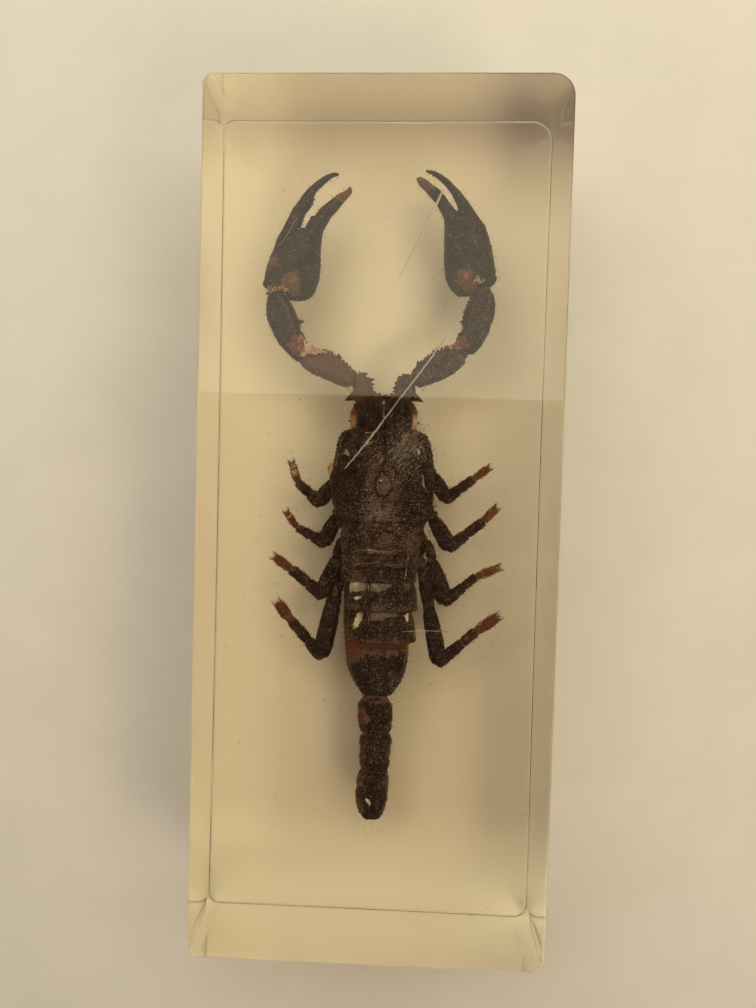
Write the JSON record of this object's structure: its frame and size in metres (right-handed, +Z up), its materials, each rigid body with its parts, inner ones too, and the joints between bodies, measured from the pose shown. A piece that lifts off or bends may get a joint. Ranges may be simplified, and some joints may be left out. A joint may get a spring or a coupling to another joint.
{
  "type": "scorpion in resin block",
  "caption": "Dried black scorpion, back up with claws forward and tail folded under, cast in a clear yellowish rectangular resin block.",
  "frame": {"origin": "middle of the block's underside", "axes": "+Y along the block's length, towards the scorpion's claws; +Z up, out of the scorpion's back; +X to the viewer's right"},
  "size_m": [0.045, 0.1109, 0.022],
  "materials": {
    "resin": "clear cast resin, slightly yellow, polished with fine scratches",
    "scorpion": "dried dark brown shell, granular on the head, glossy on the back plates, reddish at the feet"
  },
  "bodies": {
    "root": {"resin_lower": "resin", "resin_upper": "resin", "scorpion": "scorpion"}
  },
  "joints": []
}
